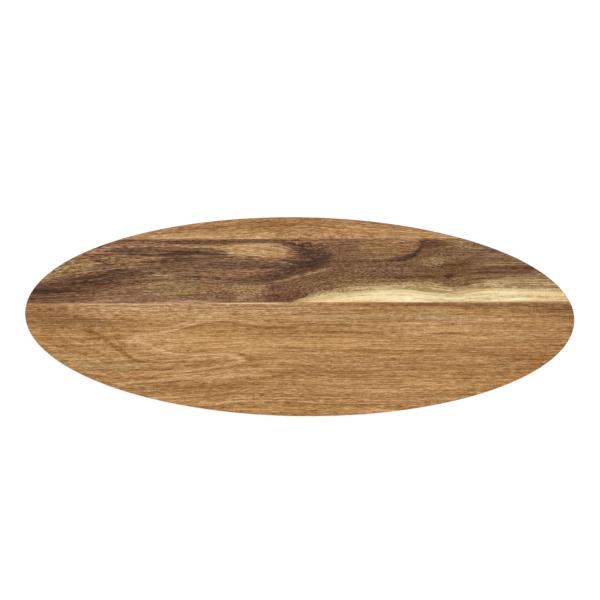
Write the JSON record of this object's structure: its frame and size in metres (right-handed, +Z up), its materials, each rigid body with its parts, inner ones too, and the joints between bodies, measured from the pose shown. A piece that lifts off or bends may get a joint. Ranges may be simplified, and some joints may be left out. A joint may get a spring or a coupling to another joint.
{
  "type": "oval serving board",
  "caption": "Long oval wooden serving board, edge-glued from solid acacia staves, flat on both faces with lightly eased rims, for carrying and serving food.",
  "frame": {"origin": "centre of the underside", "axes": "+X along the grain and the glue lines, one degree off the oval's long axis; +Y across the grain towards the narrow stave; +Z up, out of the serving face"},
  "size_m": [0.5, 0.1812, 0.015],
  "materials": {
    "upper_stave_wood": "sanded and oiled acacia heartwood, satin, golden brown with fine darker fibres",
    "middle_stave_wood": "sanded and oiled acacia, satin, dark brown streaked heartwood with a cream sapwood edge",
    "lower_stave_wood": "sanded and oiled acacia heartwood, satin, golden brown plain-sawn figure",
    "cured_glue": "cured wood glue, hairline, sanded flush"
  },
  "bodies": {
    "root": {"upper_stave": "upper_stave_wood", "upper_glue_line": "cured_glue", "middle_stave": "middle_stave_wood", "lower_glue_line": "cured_glue", "lower_stave": "lower_stave_wood"}
  },
  "joints": []
}
